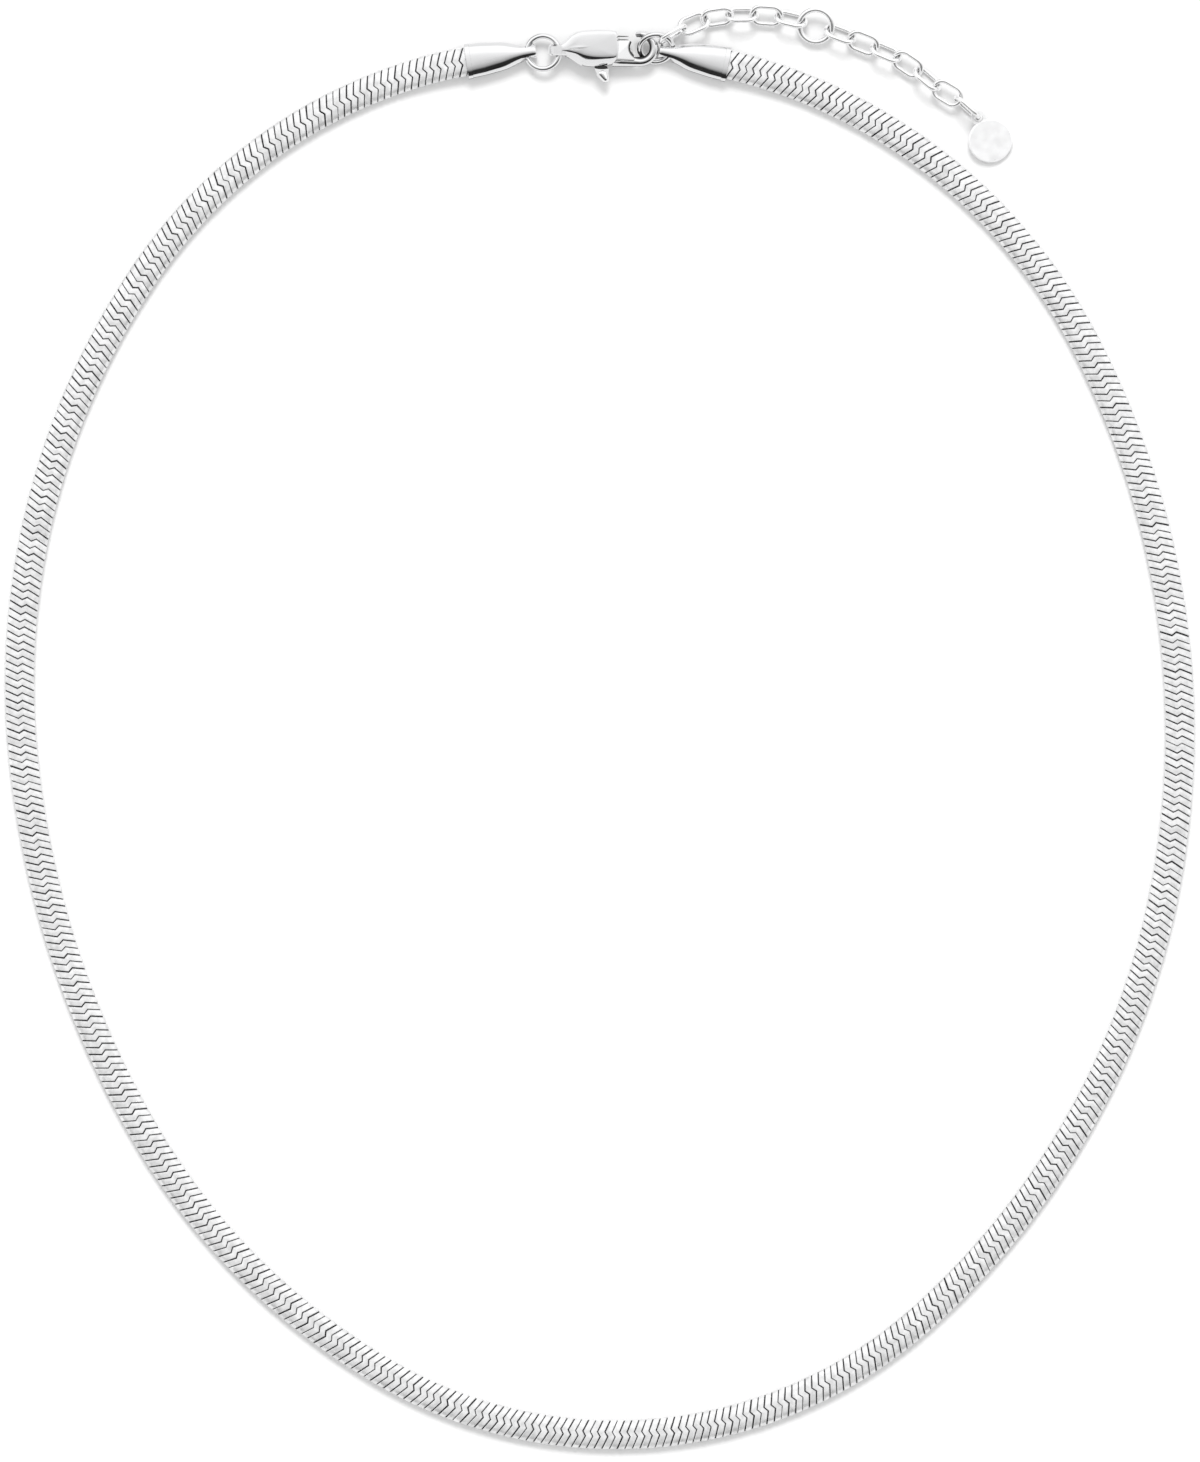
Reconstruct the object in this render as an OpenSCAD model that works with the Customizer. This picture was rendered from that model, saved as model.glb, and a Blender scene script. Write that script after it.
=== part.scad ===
// Flat snake chain necklace with a lobster clasp, an extender and a plain round tag, laid out flat.
// Millimetres. Up is +Z, the clasp lies towards +Y, and zero is under the middle of the necklace.

/* [Snake chain] */
// Width of the flat chain
chain_w = 3; // [2.8:0.1:3.1]
// Thickness of the flat chain
chain_t = 1.2; // [1.1:0.05:1.25]

/* [End caps] */
// Length of an end cap from its mouth to its tip
cap_len = 7.05; // [6.95:0.05:7.15]
// Width of an end cap at its mouth
cap_w = 3.44; // [3.42:0.02:3.5]
// Height of an end cap at its mouth
cap_h = 1.78; // [1.74:0.02:1.8]
// Width of the blunt tip of an end cap
tip_w = 1.5; // [1.4:0.05:1.6]
// Bore across the tip of an end cap
tip_bore = 1.34; // [1.32:0.01:1.36]

/* [Jump rings] */
// Outer diameter of a jump ring
ring_d = 3.85; // [3.8:0.05:3.9]
// Wire of a jump ring
ring_wire = 0.55; // [0.5:0.05:0.6]

/* [Lobster clasp] */
// Height of the clasp body
clasp_h = 2.7; // [2.6:0.05:2.8]
// Inner diameter of the hook
hook_bore = 1.8; // [1.75:0.05:1.85]
// Thickness of the lever plate
lever_t = 0.8; // [0.7:0.05:0.85]

/* [Extender] */
// Outer length of an extender link
link_len = 3.44; // [3.42:0.02:3.46]
// Outer width of an extender link
link_w = 2.32; // [2.3:0.02:2.4]
// Wire of an extender link
link_wire = 0.45; // [0.4:0.05:0.45]

/* [Tag] */
// Diameter of the round tag
tag_d = 4.4; // [4.2:0.1:4.5]
// Thickness of the round tag
tag_t = 0.6; // [0.5:0.05:0.7]

/* [Hidden] */
$fn = 48;

// The loop, walked clockwise from the mouth of the right cap to the mouth of the left cap.
// Each bend is [radius of the chain's middle line, angle that it turns through].
BEND_R = 0;
BEND_SWEEP = 1;
loop_bends = [
    [24, 3.2],
    [54, 47.5],
    [84, 39],
    [77, 37],
    [46, 72],
    [66, 29.5],
    [93, 25.5],
    [73, 39],
    [50.3, 40.5],
    [33.9, 6.6]
];
loop_start = [12.84, 66.63];
loop_heading = -11.4;
// Angle between two rings of the chain's skin
loop_step = 4.5;

// How the chain sits in its caps
cap_gap = 0.06;
cap_axis_z = 0.9;
pocket_depth = 1.4;
chain_in_cap = 1.2;
rise_len = 9;
lip_len = 0.45;
lip_out = 0.05;
// An end cap's sections from its mouth to its tip:
// [share of the length, share of the way from the mouth's width to the tip's, share of the height, fullness]
CAP_AT = 0;
CAP_NARROW = 1;
CAP_HIGH = 2;
CAP_FULL = 3;
cap_sections = [
    [0, 0, 0.97, 3],
    [0.12, 0.03, 0.97, 2.9],
    [0.24, 0.08, 0.98, 2.8],
    [0.37, 0.19, 0.98, 2.6],
    [0.47, 0.27, 0.98, 2.5],
    [0.54, 0.35, 0.99, 2.4],
    [0.6, 0.46, 0.99, 2.3],
    [0.66, 0.61, 1, 2.3],
    [0.72, 0.75, 1, 2.3],
    [0.78, 0.86, 1, 2.3],
    [0.86, 0.95, 1, 2.3],
    [0.95, 1, 0.99, 2.3],
    [0.98, 1.02, 0.96, 2.3],
    [0.993, 1.05, 0.91, 2.3],
    [1, 1.12, 0.8, 2.3]
];
section_points = 40;
bore_at = cap_len - 0.92;
// How far a bore opens towards its ends
bore_flare = 0.28;

// Jump rings: [middle x, y, z], direction in which the ring climbs, and its slope
ring_r = (ring_d - ring_wire) / 2;
left_ring_at = [-5.7, 67.84, 1.12];
left_ring_uphill = -2.6;
left_ring_tilt = 8.1;
right_ring_at = [5.58, 68.25, 1.26];
right_ring_uphill = 95;
right_ring_tilt = 36;

// Clasp, measured from the middle of the hook's opening
hook_at = [4, 68.3];
clasp_mid = clasp_h / 2;
// The body's outline, clockwise from the eye: [x, y] at mid height and [x, y] of the polished top
BASE = [0, 1];
TOP = [2, 3];
body_outline = [
    [-8.7, 0.05, -8.4, -0.05],
    [-7.7, 0.5, -7.5, 0.42],
    [-6.5, 1.5, -6.35, 1.38],
    [-4.5, 1.78, -4.5, 1.6],
    [-2.7, 1.72, -2.8, 1.58],
    [-2.15, 1.3, -2.35, 1.2],
    [-2.1, -0.8, -2.3, -0.55],
    [-2.6, -1.65, -2.6, -1.06],
    [-4.3, -2, -4.2, -1.13],
    [-5.6, -1.95, -5.4, -0.97],
    [-6.5, -1.45, -6.3, -0.65],
    [-7.4, -0.92, -7.4, -0.42],
    [-8.7, -0.75, -8.3, -0.35]
];
outline_steps = 3;
// How the body closes towards its top: [share of the half height, share of the top outline, size]
LEVEL_Z = 0;
LEVEL_TOP = 1;
LEVEL_SIZE = 2;
body_levels = [
    [0.138, 0, 1],
    [0.3, 0.1, 1],
    [0.5, 0.28, 1],
    [0.7, 0.52, 1],
    [0.85, 0.78, 1],
    [0.93, 0.97, 1],
    [0.945, 1, 0.99],
    [0.965, 1, 0.93],
    [0.98, 1, 0.84],
    [0.99, 1, 0.7],
    [1, 1, 0.4]
];
body_middle = [-4.6, 0.1];
// The body is lower where it runs out into the eye
neck_x = -8.9;
full_x = -6;
neck_share = 0.72;

eye_at = [-8.05, -0.26];
eye_r = 1.1;
eye_bore_r = 0.56;
eye_w = 1.1;
eye_chamfer = 0.18;

// The palm between the body and the hook, as its corners: [x, y, height]
palm_corner_r = 0.15;
palm = [[-2.7, 0.5, 1.5], [-2.7, -1.1, 1.95], [-1, 0.5, 1], [-0.7, -1.2, 1.1]];

hook_line = [0.02, -0.02];
hook_w = 0.96;
hook_r = (hook_bore + hook_w) / 2;
hook_tip_w = 0.6;
hook_h = 0.86;
arm_h = 1.3;
arm_from = -2.75;
hook_to = 100;
hook_sides = 14;

pivot_at = [-3.4, 0.4];
pin_r = 0.28;
pin_gap = 0.06;
boss_r = 0.75;
slot_gap = 0.07;
slot_outline = [
    [-0.75, 2], [-0.75, -0.4], [-2.8, -1.05], [-2.95, -2.7],
    [-6, -2.7], [-5.7, -1.2], [-4.8, 0], [-4.3, 2]
];
gate_outline = [
    [-3.9, 0.9], [-3.3, 1.15], [-2.4, 1.18], [-1.15, 1.14],
    [-1, 0.96], [-1.15, 0.76], [-2.3, 0.74], [-2.75, 0.4]
];
shank_outline = [
    [-4, 0.2], [-4.3, -1], [-4.55, -2.05], [-4.2, -2.9],
    [-3.2, -2.9], [-3.12, -2.2], [-3.35, -1.8], [-3.3, -1], [-2.9, 0.2]
];
thumb_from = [-3.75, -2.6];
thumb_to = [-3.45, -3.12];

// Extender, from the right jump ring to the tag.
// Each piece is [is a round ring, heading, climb, roll about its own length].
PIECE_RING = 0;
PIECE_HEADING = 1;
PIECE_CLIMB = 2;
PIECE_ROLL = 3;
extender_pieces = [
    [false, 30, -21, 80],
    [false, 23, -5, -31],
    [false, 9, 0, 38],
    [false, 1, 0, -50],
    [false, -4, 0, 25],
    [false, -13, 0, -50],
    [true, -17, 0, 14],
    [false, -20, 0, -50],
    [false, -22, 0, 22],
    [false, -23, 0, -50],
    [false, -34, 0, 25],
    [false, -40, 2, -56],
    [false, -31, 3, 14],
    [false, -42, 0, 84]
];
// Angle on the right jump ring at which the first link hangs
extender_on_ring = 51;
link_gap = 0.07;

ear_r = 0.74;
ear_bore_r = 0.44;
ear_t = 0.4;
ear_to_tag = 2.62;
tag_heading = -62;
tag_chamfer = 0.12;

silver = "silver";

// Small helpers
function along(a) = [cos(a), sin(a)];
function mix(a, b, t) = a + (b - a) * t;
function held(v, low, high) = min(max(v, low), high);
function ease(t) = let (h = held(t, 0, 1)) h * h * (3 - 2 * h);
function mean(list) = [for (v = list) 1] * list / len(list);

// A point of a clockwise bend: [x, y, heading, length walked]
function bend_point(from, r, a) =
    let (middle = [from.x, from.y] + r * along(from[2] - 90), p = middle + r * along(from[2] + 90 - a))
    [p.x, p.y, from[2] - a, from[3] + r * a * PI / 180];
function bend_start(i) =
    i == 0
    ? [loop_start.x, loop_start.y, loop_heading, 0]
    : bend_point(bend_start(i - 1), loop_bends[i - 1][BEND_R], loop_bends[i - 1][BEND_SWEEP]);
loop_end = bend_start(len(loop_bends));
loop_len = loop_end[3];
function pushed(p, d) = [p.x + d * cos(p[2]), p.y + d * sin(p[2]), p[2], p[3] + d];
loop_points = concat(
    [pushed(bend_start(0), -chain_in_cap)],
    [
        for (i = [0 : len(loop_bends) - 1])
            let (from = bend_start(i), bend = loop_bends[i], n = ceil(bend[BEND_SWEEP] / loop_step))
                for (j = [0 : n - 1]) bend_point(from, bend[BEND_R], bend[BEND_SWEEP] * j / n)
    ],
    [loop_end, pushed(loop_end, chain_in_cap)]
);
// The chain lies on the table and climbs into the thicker caps
function chain_z(s) =
    chain_t / 2 + (cap_axis_z - chain_t / 2) * (ease(1 - s / rise_len) + ease(1 - (loop_len - s) / rise_len));

// Half circles on both sides of a flat band, as [across, up]
side_steps = 6;
band_section = [
    for (side = [1, -1]) for (k = [0 : side_steps])
        let (a = -90 + 180 * k / side_steps)
            side * [(chain_w - chain_t) / 2 + chain_t / 2 * cos(a), chain_t / 2 * sin(a)]
];

// A link's half pitch is from its middle to where the next wire touches it
function half_pitch(i) =
    (extender_pieces[i][PIECE_RING] ? ring_r - ring_wire / 2 : link_len / 2 - link_wire) - link_gap / 2;
function piece_dir(i) =
    let (h = extender_pieces[i][PIECE_HEADING], c = extender_pieces[i][PIECE_CLIMB])
    [cos(h) * cos(c), sin(h) * cos(c), sin(c)];
function ring_point(at, uphill, tilt, a) =
    let (u = cos(a - uphill), v = sin(a - uphill), flat = u * cos(tilt))
    at + ring_r * [
        flat * cos(uphill) - v * sin(uphill),
        flat * sin(uphill) + v * cos(uphill),
        u * sin(tilt)
    ];
extender_start =
    ring_point(right_ring_at, right_ring_uphill, right_ring_tilt, extender_on_ring)
    - (ring_wire / 2 + 3 * link_gap) * piece_dir(0);
function piece_start(i) =
    i == 0 ? extender_start : piece_start(i - 1) + 2 * half_pitch(i - 1) * piece_dir(i - 1);
function piece_middle(i) = piece_start(i) + half_pitch(i) * piece_dir(i);
last_piece = len(extender_pieces) - 1;
function piece_name(i) =
    str("extender_", extender_pieces[i][PIECE_RING] ? "ring" : "link", i < 9 ? "_0" : "_", i + 1);

// The tag's ear hangs on the last link, and the tag's far rim rests on the table
ear_at = piece_middle(last_piece)
    + (link_len / 2 - link_wire - 3 * link_gap + ear_bore_r) * piece_dir(last_piece);
tag_reach = ear_to_tag + tag_d / 2;
tag_pitch = asin(ear_at.z / norm([tag_reach, tag_t / 2])) - atan2(tag_t / 2, tag_reach);

// The middle of the necklace's box in the plan
xs = [for (p = loop_points) p.x];
ys = [for (p = loop_points) p.y];
plan_top = max([for (i = [0 : last_piece]) piece_middle(i).y]) + link_w / 2 - 0.05;
plan_middle = [(min(xs) + max(xs)) / 2, (min(ys) - chain_w / 2 + plan_top) / 2, 0];

// A closed skin over rings of points, each ring with the same number of points
module skin(rings) {
    n = len(rings[0]);
    last = len(rings) - 1;
    count = n * (last + 1);
    polyhedron(
        points = concat([for (r = rings) for (p = r) p], [mean(rings[0]), mean(rings[last])]),
        faces = concat(
            [for (k = [0 : n - 1]) [count, k, (k + 1) % n]],
            [
                for (i = [0 : last - 1]) for (k = [0 : n - 1])
                    let (a = i * n + k, b = i * n + (k + 1) % n)
                        each [[a, a + n, b + n], [a, b + n, b]]
            ],
            [for (k = [0 : n - 1]) [count + 1, last * n + (k + 1) % n, last * n + k]]
        )
    );
}

// A slab with half-round sides that runs from x = 0 along x
module flat_oval(w, h, len) {
    rotate([90, 0, 90])
        linear_extrude(len) {
            square([w - h, h], center = true);
            for (side = [-1, 1]) translate([side * (w - h) / 2, 0]) circle(d = h);
        }
}

module snake_chain() {
    color(silver)
        translate(-plan_middle)
            skin([
                for (p = loop_points)
                    let (side = along(p[2] + 90), z = chain_z(p[3]))
                        [for (q = band_section) [p.x + q.x * side.x, p.y + q.x * side.y, z + q.y]]
            ]);
}

// A full oval section across x: width, height and fullness
function full(v, n) = sign(v) * pow(abs(v), 2 / n);
function oval_section(x, w, h, n) = [
    for (k = [0 : section_points - 1])
        let (a = 360 * k / section_points)
            [x, w / 2 * full(cos(a), n), cap_axis_z + h / 2 * full(sin(a), n)]
];

// A bore along Z round zero that opens towards both ends
module flared_bore(r, half) {
    steps = 6;
    rotate_extrude()
        polygon(concat(
            [[0, -half], [0, half]],
            [for (i = [steps : -1 : -steps]) [r + bore_flare * pow(i / steps, 2), half * i / steps]]
        ));
}

// An end cap with its mouth at x = 0 and its tip towards +X
module end_cap() {
    lip = cap_sections[0];
    difference() {
        union() {
            skin([
                for (c = cap_sections)
                    let (w = mix(cap_w, tip_w, c[CAP_NARROW]))
                        oval_section(c[CAP_AT] * cap_len, w, c[CAP_HIGH] * cap_h, c[CAP_FULL])
            ]);
            skin([
                for (x = [0, lip_len])
                    oval_section(x, cap_w + 2 * lip_out, cap_h, lip[CAP_FULL])
            ]);
        }
        translate([-1, 0, cap_axis_z])
            flat_oval(chain_w + 2 * cap_gap, chain_t + 2 * cap_gap, pocket_depth + 1);
        translate([bore_at, 0, cap_axis_z]) rotate([90, 0, 0]) flared_bore(tip_bore / 2, tip_w / 2 + 0.1);
    }
}

module end_cap_left() {
    color(silver)
        translate([loop_end.x, loop_end.y, 0] - plan_middle) rotate(loop_end[2]) end_cap();
}

module end_cap_right() {
    color(silver)
        translate([loop_start.x, loop_start.y, 0] - plan_middle) rotate(loop_heading + 180) end_cap();
}

module ring(r, wire) {
    rotate_extrude() translate([r, 0]) circle(d = wire, $fn = 24);
}

module laid_ring(at, uphill, tilt) {
    color(silver)
        translate(at - plan_middle) rotate(uphill) rotate([0, -tilt, 0]) ring(ring_r, ring_wire);
}

module jump_ring_left() {
    laid_ring(left_ring_at, left_ring_uphill, left_ring_tilt);
}

module jump_ring_right() {
    laid_ring(right_ring_at, right_ring_uphill, right_ring_tilt);
}

// A smooth closed curve through the outline's points
function curve(a, b, c, d, t) =
    0.5 * (2 * b + (c - a) * t + (2 * a - 5 * b + 4 * c - d) * t * t + (3 * b - a - 3 * c + d) * t * t * t);
function outline_points(columns) =
    let (n = len(body_outline), p = [for (row = body_outline) [row[columns[0]], row[columns[1]]]])
    [
        for (i = [0 : n - 1]) for (j = [0 : outline_steps - 1])
            curve(p[(i + n - 1) % n], p[i], p[(i + 1) % n], p[(i + 2) % n], j / outline_steps)
    ];
base_points = outline_points(BASE);
top_points = outline_points(TOP);
function body_ring(level, side) = [
    for (k = [0 : len(base_points) - 1])
        let (
            p = mix(base_points[k], top_points[k], level[LEVEL_TOP]),
            q = body_middle + (p - body_middle) * level[LEVEL_SIZE],
            low = mix(neck_share, 1, ease((q.x - neck_x) / (full_x - neck_x)))
        )
            [q.x, q.y, side * level[LEVEL_Z] * clasp_mid * low]
];

// The polished body of the clasp, round its middle height
module body_shell() {
    last_level = len(body_levels) - 1;
    skin(concat(
        [for (i = [last_level : -1 : 0]) body_ring(body_levels[i], 1)],
        [for (i = [0 : last_level]) body_ring(body_levels[i], -1)]
    ));
}

module clasp_eye() {
    translate([eye_at.x, eye_at.y, 0])
        rotate([90, 0, 0])
            rotate_extrude()
                polygon([
                    [0, -eye_w / 2],
                    [eye_r - eye_chamfer, -eye_w / 2],
                    [eye_r, eye_chamfer - eye_w / 2],
                    [eye_r, eye_w / 2 - eye_chamfer],
                    [eye_r - eye_chamfer, eye_w / 2],
                    [0, eye_w / 2]
                ]);
}

// An oval section across the hook's line: middle, direction that it runs in, width and height
function hook_ring(at, heading, w, h) = [
    for (k = [0 : hook_sides - 1])
        let (a = 360 * k / hook_sides, across = w / 2 * cos(a) * along(heading + 90))
            [at.x + across.x, at.y + across.y, h / 2 * sin(a)]
];
function hook_at_angle(a) =
    let (t = held(a / hook_to, 0, 1), w = mix(hook_w, hook_tip_w, t))
        hook_ring(hook_line + hook_r * along(a), a + 90, w, hook_h);

// The fixed arm, the hook and its rounded tip in one sweep
module hook() {
    arm_steps = 4;
    arm_y = hook_line.y - hook_r;
    tip = hook_line + hook_r * along(hook_to);
    skin(concat(
        [
            for (i = [0 : arm_steps - 1])
                let (t = i / arm_steps)
                    hook_ring([mix(arm_from, hook_line.x, t), arm_y], 0, hook_w, mix(arm_h, hook_h, ease(t)))
        ],
        [for (a = [-90 : 12 : hook_to]) hook_at_angle(a)],
        [
            for (a = [30, 60, 80])
                hook_ring(
                    tip + hook_tip_w / 2 * sin(a) * along(hook_to + 90),
                    hook_to + 90, hook_tip_w * cos(a), hook_h * cos(a)
                )
        ]
    ));
}

module clasp_body() {
    slot_h = lever_t + 2 * slot_gap;
    color(silver)
        translate([hook_at.x, hook_at.y, clasp_mid] - plan_middle) {
            difference() {
                union() {
                    body_shell();
                    clasp_eye();
                    difference() {
                        hull()
                            for (p = palm)
                                translate([p.x, p.y, 0])
                                    cylinder(r = palm_corner_r, h = p.z, center = true, $fn = 16);
                        flared_bore(hook_bore / 2, 0.8);
                    }
                }
                translate([0, 0, -slot_h / 2]) linear_extrude(slot_h) polygon(slot_outline);
                translate([eye_at.x, eye_at.y, 0])
                    rotate([90, 0, 0]) cylinder(r = eye_bore_r, h = 4, center = true);
            }
            hook();
            translate([pivot_at.x, pivot_at.y, 0]) cylinder(r = pin_r, h = slot_h + 0.4, center = true);
        }
}

// The lever turns on the pin: its gate closes the hook, and the thumb piece stands out below
module clasp_lever() {
    color(silver)
        translate([hook_at.x, hook_at.y, clasp_mid] - plan_middle) {
            difference() {
                translate([0, 0, -lever_t / 2])
                    linear_extrude(lever_t) {
                        polygon(gate_outline);
                        polygon(shank_outline);
                        translate(pivot_at) circle(r = boss_r);
                    }
                translate([pivot_at.x, pivot_at.y, 0])
                    cylinder(r = pin_r + pin_gap, h = 2 * lever_t, center = true);
            }
            hull() {
                translate([thumb_from.x, thumb_from.y, 0])
                    scale([1, 0.8, 0.85]) sphere(r = 0.6, $fn = 24);
                translate([thumb_to.x, thumb_to.y, 0])
                    scale([0.9, 1, 1.2]) sphere(r = 0.4, $fn = 24);
            }
        }
}

// A link lying flat round zero, its length along X
module oval_link() {
    end_r = (link_w - link_wire) / 2;
    reach = (link_len - link_w) / 2;
    for (side = [-1, 1]) {
        translate([side * reach, 0, 0])
            rotate_extrude(angle = 180, start = side * 90 + 180)
                translate([end_r, 0]) circle(d = link_wire, $fn = 24);
        translate([-reach, side * end_r, 0])
            rotate([0, 90, 0]) cylinder(d = link_wire, h = 2 * reach, $fn = 24);
    }
}

module extender_piece(i) {
    piece = extender_pieces[i];
    color(silver)
        translate(piece_middle(i) - plan_middle)
            rotate([piece[PIECE_ROLL], -piece[PIECE_CLIMB], piece[PIECE_HEADING]])
                if (piece[PIECE_RING]) ring(ring_r, ring_wire);
                else oval_link();
}

// The tag and the ear that is soldered to it
module round_tag() {
    rim = tag_d / 2;
    color(silver)
        translate(ear_at - plan_middle)
            rotate([0, tag_pitch, tag_heading])
                difference() {
                    union() {
                        translate([0, 0, -ear_t / 2]) cylinder(r = ear_r, h = ear_t);
                        translate([ear_to_tag, 0, 0])
                            rotate_extrude()
                                polygon([
                                    [0, -tag_t / 2],
                                    [rim - tag_chamfer, -tag_t / 2],
                                    [rim, tag_chamfer - tag_t / 2],
                                    [rim, tag_t / 2 - tag_chamfer],
                                    [rim - tag_chamfer, tag_t / 2],
                                    [0, tag_t / 2]
                                ]);
                    }
                    cylinder(r = ear_bore_r, h = 2, center = true);
                }
}

snake_chain();
end_cap_left();
end_cap_right();
jump_ring_left();
clasp_body();
clasp_lever();
jump_ring_right();
for (i = [0 : last_piece]) extender_piece(i);
round_tag();
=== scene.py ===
"""Dresses the flat snake chain necklace: zigzag plates, polished findings, a pale table and soft light."""

import math

import bpy
import numpy as np
from bpy.props import FloatProperty, FloatVectorProperty, IntProperty, PointerProperty
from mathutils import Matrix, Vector


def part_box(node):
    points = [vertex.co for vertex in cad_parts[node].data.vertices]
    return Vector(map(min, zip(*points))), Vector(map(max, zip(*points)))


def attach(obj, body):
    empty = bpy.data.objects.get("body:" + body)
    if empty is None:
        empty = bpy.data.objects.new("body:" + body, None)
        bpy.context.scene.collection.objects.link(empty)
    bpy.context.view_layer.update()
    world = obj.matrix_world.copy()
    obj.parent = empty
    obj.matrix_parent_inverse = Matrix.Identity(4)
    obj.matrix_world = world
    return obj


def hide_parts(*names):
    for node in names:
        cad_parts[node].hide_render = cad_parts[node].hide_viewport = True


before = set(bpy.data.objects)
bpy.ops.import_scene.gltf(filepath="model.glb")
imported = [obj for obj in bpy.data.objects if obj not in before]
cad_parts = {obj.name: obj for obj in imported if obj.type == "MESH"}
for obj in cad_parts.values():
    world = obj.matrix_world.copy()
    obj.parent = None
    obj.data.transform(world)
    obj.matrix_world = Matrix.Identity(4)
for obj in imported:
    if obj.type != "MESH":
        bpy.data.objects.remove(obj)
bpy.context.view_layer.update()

bl_info = {
    "name": "Flat Snake Chain Necklace",
    "version": (1, 0, 0),
    "blender": (4, 5, 0),
    "location": "View3D > Sidebar > Necklace",
    "description": "Models the plates, findings and stage of a flat snake chain necklace",
    "category": "Add Mesh",
}

MM = 0.001
NECKLACE = "necklace"
LEVER = "lever"

# The chain's route as the solids have it, in millimetres and degrees.
# Its middle line is walked clockwise from the right cap to the left: bend radius, angle turned.
LOOP_BENDS = (
    (24, 3.2), (54, 47.5), (84, 39), (77, 37), (46, 72), (66, 29.5), (93, 25.5), (73, 39), (50.3, 40.5),
    (33.9, 6.6),
)
LOOP_HEADING = -11.4
PATH_STEP = 0.6
CHAIN_WIDTH = 3
CHAIN_THICKNESS = 1.2
CHAIN_IN_CAP = 1.2
# Over this length from a cap's mouth the chain climbs to the cap's axis
CAP_RISE = 9
CAP_AXIS_Z = 0.9

# The core fills this share of the plates' width and thickness
CORE_WIDTH = 0.955
CORE_THICKNESS = 0.86
# Corners of a plate's section and of the core's, and how far their round sides are drawn out
PLATE_CORNERS = 16
CORE_CORNERS = 12
SIDE_BULGE = 1.35
# Share of the wobble about a plate's own length, width and height
WOBBLE_SHARES = (0.5, 1, 0.4)
# Points closer than this are one, in metres: on the chain, and on the findings
SAME_PLACE = 1e-7
SAME_CORNER = 1e-6
# Faces that meet at a smaller angle are shaded as one
PLATE_ANGLE = math.radians(40)
FINDING_ANGLE = math.radians(32)


class ChainSizes(bpy.types.PropertyGroup):
    """Sizes of the flat chain, in metres."""

    width: FloatProperty(
        name="Width", description="Across the flat chain", default=2.92 * MM, unit="LENGTH")
    thickness: FloatProperty(
        name="Thickness", description="Height of the flat chain", default=1.13 * MM, unit="LENGTH")
    pitch: FloatProperty(
        name="Pitch", description="From one plate to the next", default=0.74 * MM, unit="LENGTH")
    joint: FloatProperty(
        name="Joint", description="Open gap between two plates", default=0.12 * MM, unit="LENGTH")
    edge: FloatProperty(
        name="Edge", description="Rounded edge of a plate", default=0.05 * MM, unit="LENGTH")
    crown: FloatProperty(
        name="Crown", description="How far a plate bulges", default=0.012 * MM, unit="LENGTH")
    leg_slope: FloatProperty(
        name="Leg slope", description="Slant of the two long legs of a joint line", default=0.45)
    step_start: FloatProperty(
        name="Step start", description="Where the short step begins, from the middle outwards",
        default=0.2 * MM, unit="LENGTH")
    step_end: FloatProperty(
        name="Step end", description="Where the short step ends, from the middle inwards",
        default=0.3 * MM, unit="LENGTH")
    step_back: FloatProperty(
        name="Step back", description="How far the short step runs back", default=0.3 * MM, unit="LENGTH")
    wobble: FloatProperty(
        name="Wobble", description="How far the plates stand out of line", default=math.radians(0.7),
        subtype="ANGLE")
    slip: FloatProperty(
        name="Slip", description="How far the plates lie off their even places", default=0.02 * MM,
        unit="LENGTH")
    seed: IntProperty(name="Seed", description="Picks the plates' small differences", default=7)


class FinishSettings(bpy.types.PropertyGroup):
    """Colours and gloss of the metal."""

    silver: FloatVectorProperty(
        name="Silver", description="Colour of the polished metal", subtype="COLOR", size=3,
        default=(0.95, 0.951, 0.955))
    cast: FloatVectorProperty(
        name="Cast", description="Colour of the clasp, caps and rings", subtype="COLOR", size=3,
        default=(0.86, 0.862, 0.868))
    # The shade colour is painted shade: near-black metal that stands in for the shadow in the gaps between
    # the plates
    shade: FloatVectorProperty(
        name="Shade", description="Colour of the darkened metal between the plates", subtype="COLOR", size=3,
        default=(0.03, 0.03, 0.032))
    polish: FloatProperty(
        name="Polish", description="Roughness of the polished metal", default=0.09, min=0, max=1)
    satin: FloatProperty(
        name="Satin", description="Roughness of the chain's plates", default=0.34, min=0, max=1)
    frost: FloatProperty(
        name="Frost", description="Roughness of the tag's face", default=0.45, min=0, max=1)


class StageSettings(bpy.types.PropertyGroup):
    """Camera, table and light."""

    view_width: FloatProperty(
        name="View width", description="Width of the table that the camera sees", default=120 * MM,
        unit="LENGTH")
    lens: FloatProperty(name="Lens", description="Focal length in millimetres", default=400)
    sun_power: FloatProperty(name="Sun", description="Strength of the slanting light", default=2.0)
    sun_height: FloatProperty(
        name="Sun height", description="Angle of the light above the table", default=math.radians(50),
        subtype="ANGLE")
    sun_softness: FloatProperty(
        name="Softness", description="Apparent size of the light", default=math.radians(24), subtype="ANGLE")


def clear_selection():
    if bpy.context.object and bpy.context.object.mode != "OBJECT":
        bpy.ops.object.mode_set(mode="OBJECT")
    bpy.ops.object.select_all(action="DESELECT")


def pick(obj):
    """Makes an object the only one selected, and the active one."""
    clear_selection()
    obj.select_set(True)
    bpy.context.view_layer.objects.active = obj


def select_vertices(obj, test):
    """Selects the vertices that pass the test, and stays in edit mode."""
    bpy.ops.object.mode_set(mode="EDIT")
    bpy.ops.mesh.select_mode(type="VERT")
    bpy.ops.mesh.select_all(action="DESELECT")
    bpy.ops.object.mode_set(mode="OBJECT")
    for vertex in obj.data.vertices:
        vertex.select = test(vertex.co)
    bpy.ops.object.mode_set(mode="EDIT")


def settle(obj):
    """Puts an object's place into its mesh."""
    pick(obj)
    bpy.ops.object.transform_apply(location=True, rotation=True, scale=True)


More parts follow.
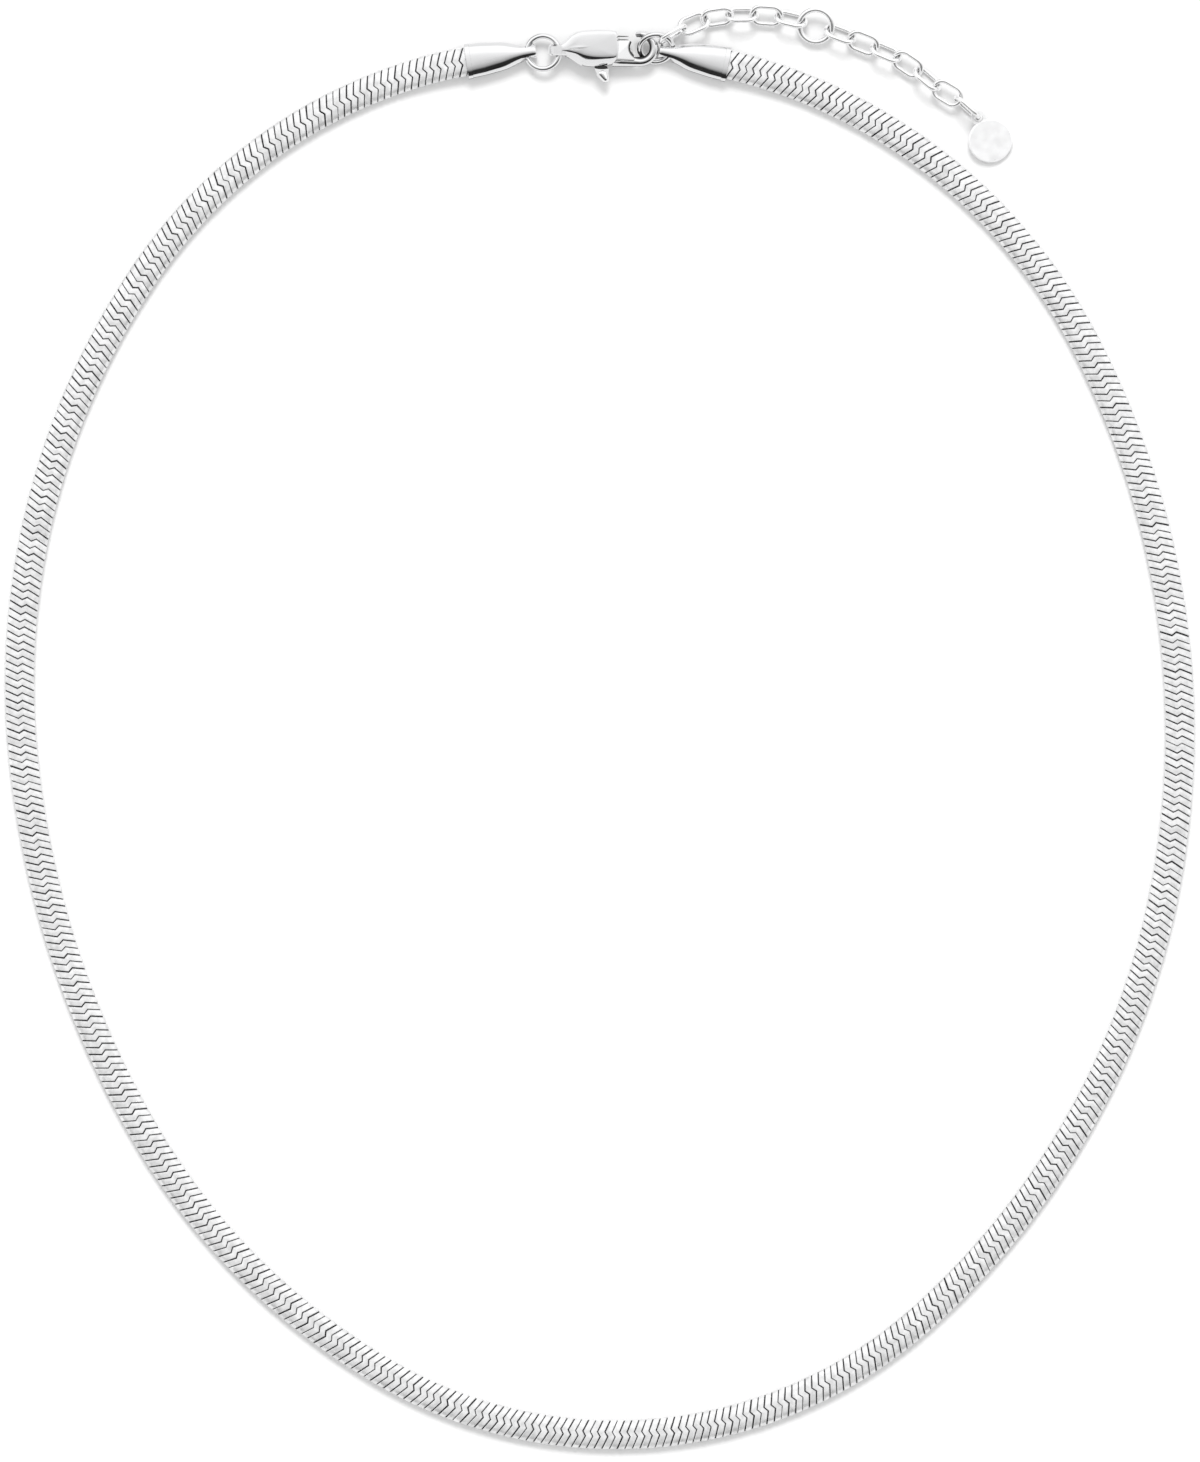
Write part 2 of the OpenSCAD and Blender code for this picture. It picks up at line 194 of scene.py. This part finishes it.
def apply_modifiers(obj):
    """Makes what the modifiers do part of the mesh."""
    pick(obj)
    for modifier in list(obj.modifiers):
        bpy.ops.object.modifier_apply(modifier=modifier.name)


def finish_piece(obj, name, body, material):
    """Names a visible piece, gives it its material, and says which body it belongs to."""
    obj.name = name
    obj.data.name = name
    obj.data.materials.clear()
    obj.data.materials.append(material)
    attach(obj, body)


# Materials

# Patterns: features in a metre, detail, and the values that most of them lie between
GLOSS = (900, 3, 0.6, 1.6)
SHEEN = (260, 2, 0.96, 1)
TARNISH = (1700, 2, 0.78, 1)
# The joint patterns vary the gloss and the painted shade of the core between the plates
JOINT_GLOSS = (2500, 2, 0.35, 0.6)
JOINT_SHADE_PATCHES = (1500, 2, 0.6, 1)
TABLE_GRAIN = (400, 3, 0.98, 1)
TABLE_GLOSS = (400, 3, 0.85, 0.95)
# Most of a noise lies in this span
NOISE_SPAN = (0.3, 0.7)
# The darkest plate's share of the lightest one's brightness
DARKEST_PLATE = 0.9
# The metal's hair-fine unevenness
GRAIN_SCALE = 4200
GRAIN_DETAIL = 2
GRAIN_DEPTH = 0.004 * MM
GRAIN_STRENGTH = 0.25
# How far the painted shade reaches out of a crevice, its soft edge in shares of open sky, and how light it
# stays
CREVICE_REACH = 0.35 * MM
CREVICE_EDGE = (0.25, 0.75)
CREVICE_LIGHT = 0.15
CREVICE_SAMPLES = 8
# The soft edge of the painted shade round a recess in shares of its own size, and how light it stays
RECESS_EDGE = (0.88, 1)
RECESS_LIGHT = 0.05
# How much of a piece's colour is mirrored and not scattered. The caps, clasp and jump rings mirror all.
FULL_METAL = 1
LINK_METAL = 0.8
CORE_METAL = 0.7
PLATE_METAL = 0.55
TAG_METAL = 0.4


def new_material(name):
    material = bpy.data.materials.new(name)
    material.use_nodes = True
    tree = material.node_tree
    return material, tree, tree.nodes["Principled BSDF"]


def noise(tree, scale, detail):
    """A noise in object space. Scale counts its features in a metre."""
    place = tree.nodes.new("ShaderNodeTexCoord")
    texture = tree.nodes.new("ShaderNodeTexNoise")
    texture.inputs["Scale"].default_value = scale
    texture.inputs["Detail"].default_value = detail
    tree.links.new(place.outputs["Object"], texture.inputs["Vector"])
    return texture.outputs["Fac"]


def mapped(tree, value, span, result):
    """Maps the span to the result, and holds it at both ends."""
    node = tree.nodes.new("ShaderNodeMapRange")
    node.inputs["From Min"].default_value, node.inputs["From Max"].default_value = span
    node.inputs["To Min"].default_value, node.inputs["To Max"].default_value = result
    tree.links.new(value, node.inputs["Value"])
    return node.outputs["Result"]


def patterned(tree, pattern, factor=1):
    """A noise whose values lie in the pattern's range times the factor."""
    scale, detail, low, high = pattern
    return mapped(tree, noise(tree, scale, detail), NOISE_SPAN, (low * factor, high * factor))


def multiplied(tree, a, b):
    node = tree.nodes.new("ShaderNodeMath")
    node.operation = "MULTIPLY"
    tree.links.new(a, node.inputs[0])
    tree.links.new(b, node.inputs[1])
    return node.outputs["Value"]


def tinted(tree, colour, amount):
    """A colour that a grey value darkens."""
    node = tree.nodes.new("ShaderNodeMix")
    node.data_type = "RGBA"
    node.blend_type = "MULTIPLY"
    node.inputs["Factor"].default_value = 1
    node.inputs["A"].default_value = (*colour, 1)
    tree.links.new(amount, node.inputs["B"])
    return node.outputs["Result"]


def painted_recess_shade(tree, recesses):
    """Painted shade: how light the metal is round the recesses, each as x, y, half width and half depth in
    mm.
    """
    place = tree.nodes.new("ShaderNodeTexCoord").outputs["Object"]
    light = None
    for x, y, half_x, half_y in recesses:
        away = tree.nodes.new("ShaderNodeMapping")
        away.inputs["Location"].default_value = (-x / half_x, -y / half_y, 0)
        away.inputs["Scale"].default_value = (1 / half_x / MM, 1 / half_y / MM, 0)
        tree.links.new(place, away.inputs["Vector"])
        size = tree.nodes.new("ShaderNodeVectorMath")
        size.operation = "LENGTH"
        tree.links.new(away.outputs["Vector"], size.inputs[0])
        share = mapped(tree, size.outputs["Value"], RECESS_EDGE, (RECESS_LIGHT, 1))
        light = multiplied(tree, light, share) if light else share
    return light


def painted_crevice_shade(tree):
    """How light the metal is: painted shade that darkens it in crevices, by how little open sky they see."""
    node = tree.nodes.new("ShaderNodeAmbientOcclusion")
    node.samples = CREVICE_SAMPLES
    node.inputs["Distance"].default_value = CREVICE_REACH
    return mapped(tree, node.outputs["AO"], CREVICE_EDGE, (CREVICE_LIGHT, 1))


def polished_silver(name, colour, polish, metallic, per_plate=False, recesses=()):
    """Polished silver with soft changes of gloss and hair-fine unevenness.

    Metallic is the share of its colour that is mirrored, per_plate gives each plate its own shade.
    """
    material, tree, shader = new_material(name)
    shader.inputs["Metallic"].default_value = metallic
    tree.links.new(patterned(tree, GLOSS, polish), shader.inputs["Roughness"])
    if per_plate:
        island = tree.nodes.new("ShaderNodeNewGeometry").outputs["Random Per Island"]
        own_shade = mapped(tree, island, (0, 1), (DARKEST_PLATE, 1))
        amount = multiplied(tree, own_shade, patterned(tree, TARNISH))
    else:
        # The colour carries painted shade in crevices, from ambient occlusion
        amount = multiplied(tree, patterned(tree, SHEEN), painted_crevice_shade(tree))
    # Painted shade round the recesses darkens the colour
    if recesses:
        amount = multiplied(tree, amount, painted_recess_shade(tree, recesses))
    tree.links.new(tinted(tree, colour, amount), shader.inputs["Base Color"])
    bump = tree.nodes.new("ShaderNodeBump")
    bump.inputs["Strength"].default_value = GRAIN_STRENGTH
    bump.inputs["Distance"].default_value = GRAIN_DEPTH
    tree.links.new(noise(tree, GRAIN_SCALE, GRAIN_DETAIL), bump.inputs["Height"])
    tree.links.new(bump.outputs["Normal"], shader.inputs["Normal"])
    return material


def painted_shade_metal(name, colour):
    """Near-black metal deep in the joints: painted shade for the gaps between the plates."""
    material, tree, shader = new_material(name)
    shader.inputs["Metallic"].default_value = CORE_METAL
    tree.links.new(patterned(tree, JOINT_GLOSS), shader.inputs["Roughness"])
    tree.links.new(tinted(tree, colour, patterned(tree, JOINT_SHADE_PATCHES)), shader.inputs["Base Color"])
    return material


# The chain

def ease(t):
    """A soft step from 0 to 1."""
    t = min(max(t, 0), 1)
    return t * t * (3 - 2 * t)


def loop_points():
    """The middle line, the ends in the caps included, as x, y and the way walked, and its length in mm."""
    x, y, heading, walked = 0.0, 0.0, math.radians(LOOP_HEADING), 0.0
    points = []
    for radius, sweep in LOOP_BENDS:
        length = radius * math.radians(sweep)
        steps = math.ceil(length / PATH_STEP)
        mid_x, mid_y = x + radius * math.sin(heading), y - radius * math.cos(heading)
        for i in range(steps):
            share = i / steps
            a = heading - length / radius * share
            x, y = mid_x - radius * math.sin(a), mid_y + radius * math.cos(a)
            points.append((x, y, walked + length * share))
        heading -= length / radius
        x, y = mid_x - radius * math.sin(heading), mid_y + radius * math.cos(heading)
        walked += length
    first, inside = math.radians(LOOP_HEADING), CHAIN_IN_CAP
    before = (-inside * math.cos(first), -inside * math.sin(first), -inside)
    after = (x + inside * math.cos(heading), y + inside * math.sin(heading), walked + inside)
    return [before, *points, (x, y, walked), after], walked


def make_path():
    """The curve that the plates follow, laid where the CAD chain lies."""
    points, length = loop_points()
    low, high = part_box("snake_chain")
    half = CHAIN_WIDTH / 2
    shift_x = (low[0] + high[0]) / MM / 2 - (min(p[0] for p in points) + max(p[0] for p in points)) / 2
    shift_y = low[1] / MM + half - min(p[1] for p in points)
    flat_z = CHAIN_THICKNESS / 2
    curve = bpy.data.curves.new("chain_path", "CURVE")
    curve.dimensions = "3D"
    curve.twist_mode = "Z_UP"
    spline = curve.splines.new("POLY")
    spline.points.add(len(points) - 1)
    for knot, (x, y, walked) in zip(spline.points, points):
        rise = ease(1 - walked / CAP_RISE) + ease(1 - (length - walked) / CAP_RISE)
        z = flat_z + (CAP_AXIS_Z - flat_z) * rise
        knot.co = ((x + shift_x) * MM, (y + shift_y) * MM, z * MM, 1)
    path = bpy.data.objects.new("chain_path", curve)
    bpy.context.scene.collection.objects.link(path)
    return path, (length + 2 * CHAIN_IN_CAP) * MM


def joint_line(sizes, y):
    """How far a joint line runs ahead at y, which counts outwards from the chain's middle."""
    if y >= sizes.step_start:
        return sizes.leg_slope * (y - sizes.step_start)
    if y >= -sizes.step_end:
        share = (sizes.step_start - y) / (sizes.step_start + sizes.step_end)
        return sizes.step_back * share
    return sizes.step_back + sizes.leg_slope * (y + sizes.step_end)


def flat_section(name, width, thickness, points):
    """A flattened round section across x = 0, as one face."""
    half_corner = math.pi / points
    bpy.ops.mesh.primitive_circle_add(
        vertices=points, radius=thickness / 2, fill_type="NGON",
        rotation=(math.pi / 2, half_corner, math.pi / 2))
    obj = bpy.context.object
    obj.name = name
    settle(obj)
    push = width / 2 - SIDE_BULGE * thickness / 2 * math.cos(half_corner)
    for side in (-1, 1):
        select_vertices(obj, lambda co: co.y * side > 0)
        bpy.ops.transform.resize(value=(1, SIDE_BULGE, 1), center_override=(0, 0, 0))
        bpy.ops.transform.translate(value=(0, side * push, 0))
    bpy.ops.mesh.select_all(action="SELECT")
    bpy.ops.transform.resize(value=(1, 1, 1 / math.cos(half_corner)), center_override=(0, 0, 0))
    return obj


def make_plate(sizes):
    """One plate of the chain, with the zigzag of its joints in both ends."""
    obj = flat_section("chain_plate", sizes.width, sizes.thickness, PLATE_CORNERS)
    for y in (sizes.step_start, -sizes.step_end):
        bpy.ops.mesh.select_all(action="SELECT")
        bpy.ops.mesh.bisect(plane_co=(0, y, 0), plane_no=(0, 1, 0))
    bpy.ops.object.mode_set(mode="OBJECT")
    for column in sorted({round(v.co.y, 8) for v in obj.data.vertices}):
        select_vertices(obj, lambda co: abs(co.y - column) < SAME_PLACE)
        bpy.ops.transform.translate(value=(joint_line(sizes, column), 0, 0))
    bpy.ops.mesh.select_all(action="SELECT")
    half_length = (sizes.pitch - sizes.joint) / 2
    small = (1, 1 - 2 * sizes.edge / sizes.width, 1 - 2 * sizes.edge / sizes.thickness)
    bulge = (1, 1 + 2 * sizes.crown / sizes.width, 1 + 2 * sizes.crown / sizes.thickness)
    full = tuple(1 / s for s in small)
    less = tuple(1 / s for s in bulge)
    flat = half_length - sizes.edge
    steps = ((sizes.edge, full), (flat, bulge), (flat, less), (sizes.edge, small))
    bpy.ops.transform.resize(value=small, center_override=(0, 0, 0))
    for ahead, size in steps:
        bpy.ops.mesh.extrude_region_move(TRANSFORM_OT_translate={"value": (ahead, 0, 0)})
        bpy.ops.transform.resize(value=size, center_override=(0, 0, 0))
    bpy.ops.mesh.select_all(action="SELECT")
    bpy.ops.mesh.normals_make_consistent(inside=False)
    bpy.ops.object.mode_set(mode="OBJECT")
    return obj


def array_along(obj, pitch, count, merged):
    """Repeats a piece in a row along X."""
    array = obj.modifiers.new("Row", "ARRAY")
    array.use_relative_offset = False
    array.use_constant_offset = True
    array.constant_offset_displace = (pitch, 0, 0)
    array.count = count
    array.use_merge_vertices = merged
    array.merge_threshold = SAME_PLACE
    apply_modifiers(obj)


def bend_along(obj, path):
    """Bends a row of pieces along the path."""
    bend = obj.modifiers.new("Follow", "CURVE")
    bend.object = path
    bend.deform_axis = "POS_X"
    apply_modifiers(obj)


def wobble_plates(obj, sizes, count):
    """Turns each plate a little about its own middle and shifts it along the chain."""
    rng = np.random.default_rng(sizes.seed)
    points = np.empty(len(obj.data.vertices) * 3)
    obj.data.vertices.foreach_get("co", points)
    plates = points.reshape(count, -1, 3)
    middles = plates.mean(axis=1, keepdims=True)
    turns = rng.normal(0, sizes.wobble, (count, 3)) * WOBBLE_SHARES
    local = plates - middles
    slips = rng.uniform(-sizes.slip, sizes.slip, (count, 1)) * (1, 0, 0)
    plates = middles + slips[:, None, :] + local + np.cross(turns[:, None, :], local)
    obj.data.vertices.foreach_set("co", plates.ravel())
    obj.data.update()


def make_plates(sizes, path, count):
    """The row of plates along the loop."""
    plates = make_plate(sizes)
    array_along(plates, sizes.pitch, count, merged=False)
    wobble_plates(plates, sizes, count)
    bend_along(plates, path)
    pick(plates)
    bpy.ops.object.shade_smooth_by_angle(angle=PLATE_ANGLE)
    return plates


def make_core(sizes, path, count):
    """The plain flat band that shows between the plates."""
    core = flat_section("core", sizes.width * CORE_WIDTH, sizes.thickness * CORE_THICKNESS, CORE_CORNERS)
    bpy.ops.mesh.extrude_region_move(TRANSFORM_OT_translate={"value": (sizes.pitch, 0, 0)})
    bpy.ops.mesh.select_all(action="SELECT")
    bpy.ops.mesh.normals_make_consistent(inside=False)
    bpy.ops.object.mode_set(mode="OBJECT")
    array_along(core, sizes.pitch, count, merged=True)
    bend_along(core, path)
    return core


class NECKLACE_OT_chain(bpy.types.Operator):
    """Lays zigzag plates and the darker core between them along the loop."""

    bl_idname = "necklace.chain"
    bl_label = "Snake chain"

    def execute(self, context):
        sizes, finish = context.scene.necklace_chain, context.scene.necklace_finish
        path, length = make_path()
        count = int(length / sizes.pitch)

        plates = make_plates(sizes, path, count)
        silver = polished_silver("plate_silver", finish.silver, finish.satin, PLATE_METAL, per_plate=True)
        finish_piece(plates, "chain_plates", NECKLACE, silver)

        # The core's near-black colour is painted shade in the gaps between the plates
        core = make_core(sizes, path, count)
        shade = painted_shade_metal("joint_painted_shade", finish.shade)
        finish_piece(core, "chain_core", NECKLACE, shade)

        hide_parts("snake_chain")
        curve = path.data
        bpy.data.objects.remove(path)
        bpy.data.curves.remove(curve)
        return {"FINISHED"}


# The findings

# Recesses of the clasp that get painted shade, as x, y, half width and half depth in millimetres
HOOK_OPENING = (4.02, 67.88, 1.26, 1.26)
LEVER_SLIT = (0.2, 65.9, 0.85, 0.2)
GATE_FOOT = (2.3, 68.6, 0.75, 0.11)
GATE_TOP = (2.3, 69.04, 0.75, 0.1)


def finding(node, body, material):
    """A smooth piece over a CAD node, of the same form."""
    clear_selection()
    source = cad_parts[node]
    source.select_set(True)
    bpy.context.view_layer.objects.active = source
    bpy.ops.object.duplicate()
    piece = bpy.context.object
    bpy.ops.object.mode_set(mode="EDIT")
    bpy.ops.mesh.select_all(action="SELECT")
    bpy.ops.mesh.remove_doubles(threshold=SAME_CORNER)
    bpy.ops.mesh.normals_make_consistent(inside=False)
    bpy.ops.object.mode_set(mode="OBJECT")
    bpy.ops.mesh.customdata_custom_splitnormals_clear()
    bpy.ops.object.shade_smooth_by_angle(angle=FINDING_ANGLE)
    finish_piece(piece, node + "_finish", body, material)
    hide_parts(node)


def shared_silver(name, colour, polish, metallic):
    """A silver that several findings share, made once."""
    return bpy.data.materials.get(name) or polished_silver(name, colour, polish, metallic)


class NECKLACE_OT_caps(bpy.types.Operator):
    """Finishes the two end caps."""

    bl_idname = "necklace.caps"
    bl_label = "End caps"

    def execute(self, context):
        finish = context.scene.necklace_finish
        for node in ("end_cap_left", "end_cap_right"):
            finding(node, NECKLACE, shared_silver("cast_silver", finish.cast, finish.polish, FULL_METAL))
        return {"FINISHED"}


class NECKLACE_OT_clasp(bpy.types.Operator):
    """Finishes the lobster clasp and its lever."""

    bl_idname = "necklace.clasp"
    bl_label = "Lobster clasp"

    def execute(self, context):
        finish = context.scene.necklace_finish
        # The clasp's hook opening and the lever's slit and gate are darkened with painted shade
        body = polished_silver(
            "clasp_silver", finish.cast, finish.polish, FULL_METAL, recesses=(HOOK_OPENING,))
        lever = polished_silver(
            "lever_silver", finish.silver, finish.polish, FULL_METAL,
            recesses=(LEVER_SLIT, GATE_FOOT, GATE_TOP))
        finding("clasp_body", NECKLACE, body)
        finding("clasp_lever", LEVER, lever)
        return {"FINISHED"}


class NECKLACE_OT_rings(bpy.types.Operator):
    """Finishes the two jump rings."""

    bl_idname = "necklace.rings"
    bl_label = "Jump rings"

    def execute(self, context):
        finish = context.scene.necklace_finish
        for node in ("jump_ring_left", "jump_ring_right"):
            finding(node, NECKLACE, shared_silver("ring_silver", finish.cast, finish.polish, FULL_METAL))
        return {"FINISHED"}


class NECKLACE_OT_extender(bpy.types.Operator):
    """Finishes the extender's links and its round ring."""

    bl_idname = "necklace.extender"
    bl_label = "Extender"

    def execute(self, context):
        finish = context.scene.necklace_finish
        for node in sorted(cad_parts):
            if node.startswith("extender_"):
                silver = shared_silver("link_silver", finish.silver, finish.polish, LINK_METAL)
                finding(node, NECKLACE, silver)
        return {"FINISHED"}


class NECKLACE_OT_tag(bpy.types.Operator):
    """Finishes the round tag."""

    bl_idname = "necklace.tag"
    bl_label = "Round tag"

    def execute(self, context):
        finish = context.scene.necklace_finish
        silver = polished_silver("tag_silver", finish.silver, finish.frost, TAG_METAL)
        finding("round_tag", NECKLACE, silver)
        return {"FINISHED"}


# The stage

# Brightness of the room that the metal mirrors, by how far a direction points to -Y or +Y
ROOM = (
    (-1.0, 0.95), (-0.93, 0.9), (-0.88, 0.02), (-0.38, 0.02), (-0.26, 0.36), (-0.1, 0.6), (-0.02, 0.76),
    (0.07, 0.92), (0.3, 1.22),
)
# The dark gap lies high up, above this soft edge. Nearer the horizon the room is light.
GAP_EDGE = (0.38, 0.48)
SIDE_LIGHT = 0.93
# Below the horizon's soft edge it is light all round, apart from a dark side in this direction
HORIZON_EDGE = (0.02, -0.1)
FLOOR_LIGHT = 0.95
DARK_SIDE = (-0.669, 0.743, 0)
DARK_SIDE_EDGE = (0.84, 0.93)
DARK_SIDE_LIGHT = 0.05
# The table right under a piece's -Y side lies in its shadow
DARK_FOOT = (0, -0.35, -0.94)
DARK_FOOT_EDGE = (0.945, 0.985)
DARK_FOOT_LIGHT = 0.1
# What all other light sees of the room
PLAIN_LIGHT = 0.96
TABLE_SIZE = 8
TABLE_COLOUR = (0.8, 0.8, 0.8)
# Where the sun's marker stands, which has no effect on its light
SUN_PLACE = (0, 0.3, 0.4)
# The picture's height by its width, and the camera's sensor in millimetres
PICTURE_SHAPE = 1462 / 1200
SENSOR = 36
# Nearest and furthest distance that the camera sees, in metres
CLIP_START = 0.01
CLIP_END = 20
# The point that the camera looks straight down at
VIEW_MIDDLE = Vector((0.02, -0.42, 0.6)) * MM


def mixed(tree, factor, a, b):
    """Mixes two colours. Each is a grey value or a socket."""
    node = tree.nodes.new("ShaderNodeMix")
    node.data_type = "RGBA"
    tree.links.new(factor, node.inputs["Factor"])
    for socket, source in ((node.inputs["A"], a), (node.inputs["B"], b)):
        if isinstance(source, float):
            socket.default_value = (source, source, source, 1)
        else:
            tree.links.new(source, socket)
    return node.outputs["Result"]


def towards_side(tree, direction, side):
    """How closely a direction points to a side: 1 is straight at it."""
    node = tree.nodes.new("ShaderNodeVectorMath")
    node.operation = "DOT_PRODUCT"
    node.inputs[1].default_value = side
    tree.links.new(direction, node.inputs[0])
    return node.outputs["Value"]


def make_room():
    """A white room with a dark gap towards -Y, which only mirrored light sees."""
    world = bpy.data.worlds.new("room")
    bpy.context.scene.world = world
    world.use_nodes = True
    tree = world.node_tree
    direction = tree.nodes.new("ShaderNodeTexCoord").outputs["Generated"]
    parts = tree.nodes.new("ShaderNodeSeparateXYZ")
    tree.links.new(direction, parts.inputs[0])
    ramp = tree.nodes.new("ShaderNodeValToRGB")
    tree.links.new(mapped(tree, parts.outputs["Y"], (-1, 1), (0, 1)), ramp.inputs["Fac"])
    stops = ramp.color_ramp.elements
    while len(stops) < len(ROOM):
        stops.new(0.5)
    for stop, (towards, _) in zip(stops, ROOM):
        stop.position = (towards + 1) / 2
    # A stop that moves past another takes its place in the row, so the colours come after
    for stop, (_, light) in zip(stops, ROOM):
        stop.color = (light, light, light, 1)

    side = mapped(tree, towards_side(tree, direction, DARK_SIDE), DARK_SIDE_EDGE, (0, 1))
    foot = mapped(tree, towards_side(tree, direction, DARK_FOOT), DARK_FOOT_EDGE, (0, 1))
    floor = mixed(tree, foot, mixed(tree, side, FLOOR_LIGHT, DARK_SIDE_LIGHT), DARK_FOOT_LIGHT)
    high = mapped(tree, parts.outputs["Z"], GAP_EDGE, (0, 1))
    above = mixed(tree, high, SIDE_LIGHT, ramp.outputs["Color"])
    below = mapped(tree, parts.outputs["Z"], HORIZON_EDGE, (0, 1))
    room = mixed(tree, below, above, floor)

    rays = tree.nodes.new("ShaderNodeLightPath").outputs["Is Glossy Ray"]
    tree.links.new(mixed(tree, rays, PLAIN_LIGHT, room), tree.nodes["Background"].inputs["Color"])


def make_table():
    """A white table, which only the camera and scattered light see."""
    bpy.ops.mesh.primitive_plane_add(size=TABLE_SIZE)
    table = bpy.context.object
    table.name = "table"
    material, tree, shader = new_material("white_table")
    tree.links.new(tinted(tree, TABLE_COLOUR, patterned(tree, TABLE_GRAIN)), shader.inputs["Base Color"])
    tree.links.new(patterned(tree, TABLE_GLOSS), shader.inputs["Roughness"])
    shader.inputs["Specular IOR Level"].default_value = 0
    table.data.materials.append(material)
    table.visible_glossy = False


class NECKLACE_OT_stage(bpy.types.Operator):
    """Sets the table, the light and the camera straight above."""

    bl_idname = "necklace.stage"
    bl_label = "Stage"

    def execute(self, context):
        settings = context.scene.necklace_stage
        clear_selection()
        make_room()
        make_table()

        tilt = math.pi / 2 - settings.sun_height
        bpy.ops.object.light_add(type="SUN", location=SUN_PLACE, rotation=(-tilt, 0, 0))
        sun = context.object.data
        sun.energy = settings.sun_power
        sun.angle = settings.sun_softness
        context.object.visible_glossy = False

        distance = settings.view_width * settings.lens / SENSOR * PICTURE_SHAPE
        bpy.ops.object.camera_add(location=VIEW_MIDDLE + Vector((0, 0, distance)), rotation=(0, 0, 0))
        camera = context.object
        camera.data.sensor_width = SENSOR
        camera.data.lens = settings.lens
        camera.data.clip_start, camera.data.clip_end = CLIP_START, CLIP_END
        context.scene.camera = camera
        context.scene.view_settings.view_transform = "Standard"
        return {"FINISHED"}


STEPS = (
    NECKLACE_OT_stage,
    NECKLACE_OT_chain,
    NECKLACE_OT_caps,
    NECKLACE_OT_clasp,
    NECKLACE_OT_rings,
    NECKLACE_OT_extender,
    NECKLACE_OT_tag,
)


class NECKLACE_PT_panel(bpy.types.Panel):
    """Lists the necklace's steps and settings."""

    bl_idname = "NECKLACE_PT_panel"
    bl_label = "Necklace"
    bl_space_type = "VIEW_3D"
    bl_region_type = "UI"
    bl_category = "Necklace"

    def draw(self, context):
        for step in STEPS:
            self.layout.operator(step.bl_idname)
        for group in GROUPS:
            settings = getattr(context.scene, group)
            for name in settings.__annotations__:
                self.layout.prop(settings, name)


GROUPS = {"necklace_chain": ChainSizes, "necklace_finish": FinishSettings, "necklace_stage": StageSettings}


def register():
    for item in (*GROUPS.values(), *STEPS, NECKLACE_PT_panel):
        bpy.utils.register_class(item)
    for name, group in GROUPS.items():
        setattr(bpy.types.Scene, name, PointerProperty(type=group))


def unregister():
    for name in GROUPS:
        delattr(bpy.types.Scene, name)
    for item in (NECKLACE_PT_panel, *reversed(STEPS), *GROUPS.values()):
        bpy.utils.unregister_class(item)


def main():
    """Builds the whole scene through the operators."""
    register()
    for step in STEPS:
        group, name = step.bl_idname.split(".")
        getattr(getattr(bpy.ops, group), name)()


if __name__ == "__main__":
    main()
